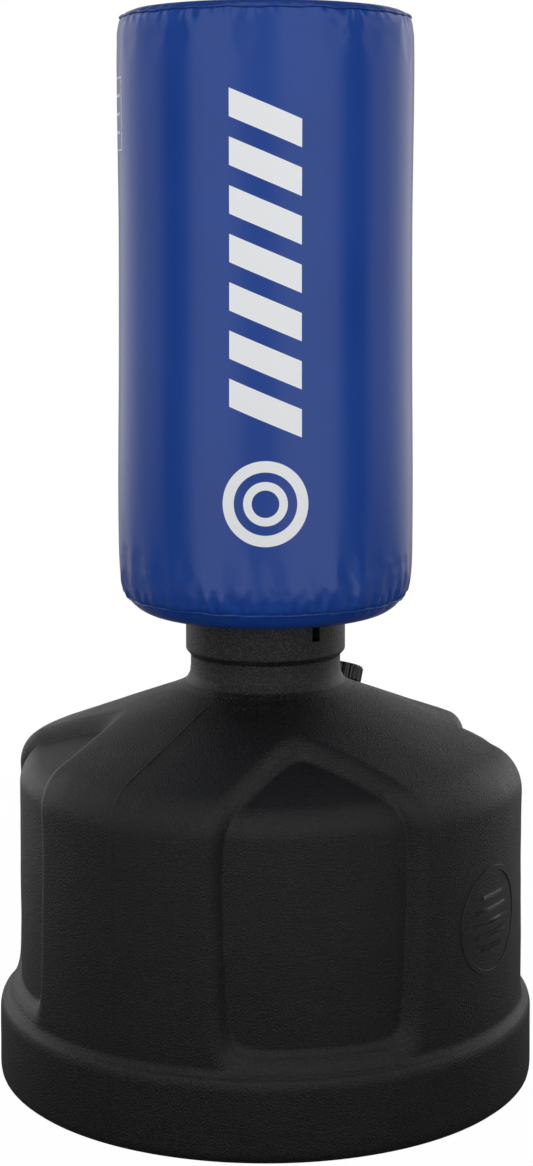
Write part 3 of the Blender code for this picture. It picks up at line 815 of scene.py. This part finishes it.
def cover_points():
    """Points [ring, column, xyz] of the whole cover, and the rings that are its high and low seams.

    The rings run from the roof's centre down to the floor's opening."""
    roof, roof_places = smoothed(ROOF_LINE, False, True)
    wall, wall_places = smoothed(WALL_LINE, True, True)
    floor, floor_places = smoothed(FLOOR_LINE, True, False)
    line = np.concatenate([roof, wall[1:], floor[1:]])
    high, low = len(roof) - 1, len(roof) + len(wall) - 2
    turns = even_turns(COLUMNS)

    along = np.gradient(line, axis=0)
    along /= np.linalg.norm(along, axis=1)[:, None]
    above = roof_places[-1] - roof_places
    wall_high, wall_low = wall_places[1:], wall_places[-1] - wall_places[1:]
    beyond = floor_places[1:]
    drawn = np.concatenate([
        gathers(above, turns, 11, (0.012, 0.024), (0.008, 0.022), (0.0004, 0.0012)),
        gathers(wall_high, turns, 12, (0.008, 0.017), (0.012, 0.034), (0.0007, 0.0022))
        + slack_waves(wall_high, turns, 13, 0.045, 0.0007)
        + gathers(wall_low, turns, 14, (0.009, 0.020), (0.022, 0.056), (0.0014, 0.0042))
        + slack_waves(wall_low, turns, 15, 0.060, 0.0016),
        gathers(beyond, turns, 16, (0.010, 0.022), (0.010, 0.026), (0.0006, 0.0018))])
    r = line[:, 0:1] + drawn * along[:, 1:2]
    z = line[:, 1:2] - drawn * along[:, 0:1]
    distances = (np.concatenate([above, wall_high, wall_low[-1] + beyond]),
                 np.concatenate([wall_places[-1] + above, wall_low, beyond]))
    sway_reach, sway_up, sway_out = 0.010, 0.0010, 0.0007
    for k, away in enumerate(distances):
        fade = np.exp(-(away / sway_reach) ** 2)[:, None]
        z = z + fade * seam_sway(turns, 31 + k, sway_up)[None, :]
        r = r + fade * seam_sway(turns, 41 + k, sway_out)[None, :]
    return grid_points(r, z, turns[None, :]), high, low


def settle(points, seam, rows_above, rows_below):
    """Lets the gathered band round a seam swell against its stitches as pressed cloth."""
    first, last = seam - rows_above, seam + rows_below
    band = points[first:last].copy()
    count = band.shape[0]
    mesh = bpy.data.meshes.new("band")
    mesh.from_pydata(band.reshape(-1, 3).tolist(), [], ring_faces(count, COLUMNS))
    obj = bpy.data.objects.new("band", mesh)
    bpy.context.scene.collection.objects.link(obj)
    held = obj.vertex_groups.new(name="held")
    for k in (0, 1, seam - first, count - 2, count - 1):
        held.add(list(range(k * COLUMNS, (k + 1) * COLUMNS)), 1.0, "REPLACE")
    cloth = obj.modifiers.new("cloth", "CLOTH")
    settings = cloth.settings
    settings.quality = 4
    settings.vertex_group_mass = "held"
    settings.tension_stiffness = 40
    settings.compression_stiffness = 40
    settings.shear_stiffness = 15
    settings.bending_stiffness = 2.0
    settings.use_pressure = True
    settings.uniform_pressure_force = 3.0
    settings.effector_weights.gravity = 0.0
    cloth.collision_settings.use_collision = False
    scene = bpy.context.scene
    for number in range(1, SETTLE_FRAMES + 1):
        scene.frame_set(number)
    evaluated = obj.evaluated_get(bpy.context.evaluated_depsgraph_get())
    settled = np.empty(count * COLUMNS * 3, dtype=np.float32)
    evaluated.data.vertices.foreach_get("co", settled)
    scene.frame_set(1)
    bpy.data.objects.remove(obj)
    moved = settled.reshape(count, COLUMNS, 3) - band
    far = np.linalg.norm(moved, axis=-1, keepdims=True)
    moved *= np.minimum(1.0, SETTLE_MOST / np.maximum(far, 1e-9))
    points[first:last] = band + moved


def sewn_piece(name, rings, material, slot, *replaced, hole=False):
    """One cut piece of the cover, as a skin with the vinyl's thickness inside it."""
    rows = rings.shape[0]
    points = rings.reshape(-1, 3).tolist()
    faces = ring_faces(rows, COLUMNS)
    if not hole:
        points.append(rings[0].mean(axis=0).tolist())
        faces += fan_faces(0, COLUMNS, len(points) - 1)
    piece = add_mesh(name, points, faces)
    side = piece.data.polygons[len(faces) // 2]
    if side.normal.dot(side.center - Vector((0, 0, BAG_MIDDLE_Z))) < 0:
        piece.data.flip_normals()
    thickness = piece.modifiers.new("vinyl", "SOLIDIFY")
    thickness.thickness = SKIN
    thickness.offset = -1
    return finish_piece(piece, "bag", slot, material, *replaced)


def seam_bead(name, seam_ring, seed, *replaced):
    """The thin bead of folded vinyl that the stitches draw up along a seam, pinched at each stitch."""
    around, mean_r, unevenness, pinch, stitches, stands_out = 10, 0.0013, 0.0006, 0.00018, 190, 0.0006
    turns = even_turns(COLUMNS)
    radius = mean_r + seam_sway(turns, seed, unevenness) + pinch * np.cos(turns * stitches)
    spread = np.linalg.norm(seam_ring[:, :2], axis=1)
    rings = []
    for k in range(around):
        a = 2 * math.pi * k / around
        ring = seam_ring.copy()
        ring[:, :2] *= ((spread + stands_out + radius * math.cos(a)) / spread)[:, None]
        ring[:, 2] += radius * math.sin(a)
        rings.append(ring)
    bead = add_mesh(name, np.array(rings).reshape(-1, 3), ring_faces(around, COLUMNS, wrap_rows=True))
    return finish_piece(bead, "bag", "welt_vinyl", WELT_VINYL, *replaced)


def make_cover():
    points, high, low = cover_points()
    settle(points, high, rows_above=22, rows_below=24)
    settle(points, low, rows_above=26, rows_below=16)
    wall = sewn_piece("cover_side", points[high:low + 1], COVER_VINYL, "cover_vinyl", "cover_wall", hole=True)
    roof = sewn_piece("cover_roof", points[:high + 1], PANEL_VINYL, "cover_vinyl", "cover_top")
    floor = sewn_piece("cover_floor", points[low:], PANEL_VINYL, "cover_vinyl", "cover_bottom", hole=True)
    seam_bead("seam_bead_high", points[high], 51, "welt_top")
    seam_bead("seam_bead_low", points[low], 52, "welt_bottom")


def make_foam():
    """The foam tube round the liner and the foam disc above it, a little inside the cover."""
    bore = LINER_R + 0.0005

    def uneven(r, z, a):
        return np.where(r > 0.10, r + 0.0004 * np.sin(5 * a + 9 * z) - 0.0006, r)

    core_line = [(bore, 0.5252), (0.0800, 0.5252), (0.0800, 0.5205), (0.1165, 0.5205), (0.1260, 0.5222),
                 (0.1350, 0.5256), (0.1430, 0.5310), (0.1500, 0.5420), (0.1550, 0.5540), (0.1580, 0.5680),
                 (0.1600, 0.5900), (0.1604, 0.8500), (0.1600, 1.1200), (0.1594, 1.1460), (bore, 1.1460)]
    core = lathe("foam_tube", eased(core_line, 0.003), 128, relief=uneven)
    finish_piece(core, "bag", "foam", FOAM, "foam_core")
    disc_line = [(0.0, 1.1470), (0.1590, 1.1470), (0.1575, 1.1590), (0.1550, 1.1670), (0.1505, 1.1740),
                 (0.1440, 1.1790), (0.1320, 1.1828), (0.1080, 1.1856), (0.0600, 1.1876), (0.0, 1.1885)]
    disc = lathe("foam_disc", disc_line, 128, ease=0.002, relief=uneven)
    finish_piece(disc, "bag", "foam", FOAM, "foam_top")


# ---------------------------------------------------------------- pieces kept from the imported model


def paint_kept_nodes():
    kept = {"tube_foot": INNER_PLASTIC, "tube_top_cap": INNER_PLASTIC, "glide_bush": INNER_PLASTIC,
            "lock_ring": INNER_PLASTIC, "bag_liner": LINER_PLASTIC, "liner_cap": LINER_PLASTIC}
    for name, material in kept.items():
        for material_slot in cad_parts[name].material_slots:
            material_slot.material = material


# ---------------------------------------------------------------- floor, light and camera

CAMERA_TURN = math.radians(-11.5)   # from -Y towards -X
FLOOR_R, FLOOR_DROP, FLOOR_SHADE = 1.45, 0.0005, 0.18


def make_floor():
    """A pale floor, plain to the eye, that throws little light back up at the object."""
    bm = bmesh.new()
    bmesh.ops.create_circle(bm, cap_ends=True, segments=96, radius=FLOOR_R)
    floor = from_bmesh("floor", bm)
    floor.location.z = -FLOOR_DROP
    n = Nodes("floor")
    n.set(Base_Color=(FLOOR_SHADE, FLOOR_SHADE, FLOOR_SHADE), Roughness=0.9)
    glow = n.tree.nodes.new("ShaderNodeEmission")
    glow.inputs["Color"].default_value = (1, 1, 1, 1)
    glow.inputs["Strength"].default_value = 1.02
    path = n.tree.nodes.new("ShaderNodeLightPath")
    mix = n.tree.nodes.new("ShaderNodeMixShader")
    n.feed(mix.inputs["Fac"], n.math("MULTIPLY", path.outputs["Is Camera Ray"], 0.97))
    n.feed(mix.inputs[1], n.shader.outputs[0])
    n.feed(mix.inputs[2], glow.outputs[0])
    n.feed(n.tree.nodes["Material Output"].inputs["Surface"], mix.outputs[0])
    floor.data.materials.append(n.material)


class WorldNodes:
    """The studio's node tree. Directions are in degrees from the camera's side and above the horizon."""

    def __init__(self):
        world = bpy.data.worlds.new("studio")
        bpy.context.scene.world = world
        world.use_nodes = True
        self.tree = world.node_tree
        split = self.tree.nodes.new("ShaderNodeSeparateXYZ")
        direction = self.tree.nodes.new("ShaderNodeTexCoord").outputs["Generated"]
        self.tree.links.new(direction, split.inputs[0])
        x, y, z = split.outputs
        ahead = self.math("SUBTRACT", self.math("MULTIPLY", x, math.sin(CAMERA_TURN)),
                          self.math("MULTIPLY", y, math.cos(CAMERA_TURN)))
        aside = self.math("ADD", self.math("MULTIPLY", x, math.cos(CAMERA_TURN)),
                          self.math("MULTIPLY", y, math.sin(CAMERA_TURN)))
        self.bearing = self.math("MULTIPLY", self.math("ARCTAN2", aside, ahead), 180 / math.pi)
        self.turn = self.math("ABSOLUTE", self.bearing)
        self.height = self.math("MULTIPLY", self.math("ARCSINE", z), 180 / math.pi)

    def math(self, operation, *values):
        node = self.tree.nodes.new("ShaderNodeMath")
        node.operation = operation
        for socket, value in zip(node.inputs, values):
            if isinstance(value, bpy.types.NodeSocket):
                self.tree.links.new(value, socket)
            else:
                socket.default_value = value
        return node.outputs[0]

    def step(self, value, start, end):
        """0 before start, 1 after end, smooth between. start may be above end."""
        node = self.tree.nodes.new("ShaderNodeMapRange")
        node.interpolation_type = "SMOOTHSTEP"
        low, high = min(start, end), max(start, end)
        results = (0.0, 1.0) if start < end else (1.0, 0.0)
        for socket, number in zip(node.inputs[1:5], (low, high, *results)):
            socket.default_value = number
        self.tree.links.new(value, node.inputs["Value"])
        return node.outputs["Result"]

    def panel(self, strength, *edges):
        """A glowing patch of the surround, bounded by soft edges: (measure, start, end) for each."""
        value = strength
        for of, start, end in edges:
            value = self.math("MULTIPLY", self.step(of, start, end), value)
        return value


def make_world():
    """White to the eye. For light and reflections: a pair of soft boxes in front, and others at the sides,
    behind, above and below."""
    n = WorldNodes()
    turn, height = n.turn, n.height
    gap = n.panel(0.60, (n.bearing, -26.0, -12.0), (n.bearing, 16.0, 2.0))
    whole_front = n.panel(1.20, (turn, 66.0, 54.0), (height, -46.0, -26.0), (height, 74.0, 58.0))
    front = n.math("MULTIPLY", whole_front, n.math("SUBTRACT", 1.0, gap))
    sides = n.panel(0.70, (turn, 82.0, 90.0), (turn, 165.0, 148.0),
                    (height, -12.0, -4.0), (height, 36.0, 20.0))
    high_sides = n.panel(0.60, (turn, 88.0, 98.0), (turn, 142.0, 126.0),
                         (height, 18.0, 27.0), (height, 50.0, 40.0))
    far_sides = n.panel(0.34, (turn, 105.0, 135.0), (turn, 165.0, 148.0),
                        (height, -14.0, -8.0), (height, 44.0, 28.0))
    back = n.panel(0.36, (turn, 150.0, 165.0), (height, -14.0, -8.0), (height, 30.0, 14.0))
    below = n.panel(0.22, (height, -9.0, -16.0))
    top = n.panel(0.90, (height, 62.0, 78.0))
    total = 0.06
    for glow in (front, sides, high_sides, far_sides, back, below, top):
        total = n.math("ADD", glow, total)
    tree = n.tree
    seen = tree.nodes["Background"]
    seen.inputs["Color"].default_value = (1, 1, 1, 1)
    seen.inputs["Strength"].default_value = 1.0
    lit = tree.nodes.new("ShaderNodeBackground")
    lit.inputs["Color"].default_value = (1, 1, 1, 1)
    tree.links.new(total, lit.inputs["Strength"])
    path = tree.nodes.new("ShaderNodeLightPath")
    mix = tree.nodes.new("ShaderNodeMixShader")
    tree.links.new(path.outputs["Is Camera Ray"], mix.inputs["Fac"])
    tree.links.new(lit.outputs[0], mix.inputs[1])
    tree.links.new(seen.outputs[0], mix.inputs[2])
    tree.links.new(mix.outputs[0], tree.nodes["World Output"].inputs["Surface"])


def make_camera():
    data = bpy.data.cameras.new("camera")
    data.sensor_width = 36
    data.lens = 71.32
    data.shift_x, data.shift_y = 0.00086, -0.157
    camera = bpy.data.objects.new("camera", data)
    distance, height, pitch = 2.5753, 0.9582, math.radians(4.49)
    camera.location = (math.sin(CAMERA_TURN) * distance, -math.cos(CAMERA_TURN) * distance, height)
    camera.rotation_euler = (math.pi / 2 - pitch, 0, CAMERA_TURN)
    bpy.context.scene.collection.objects.link(camera)
    bpy.context.scene.camera = camera


make_base()
make_emblem()
make_port_ring(port_place())
make_cap_washer(port_place())
make_fill_cap(port_place())
make_post()
make_neck_bush()
make_cover()
make_foam()
paint_kept_nodes()
make_floor()
make_world()
make_camera()
bpy.context.scene.view_settings.view_transform = "Standard"
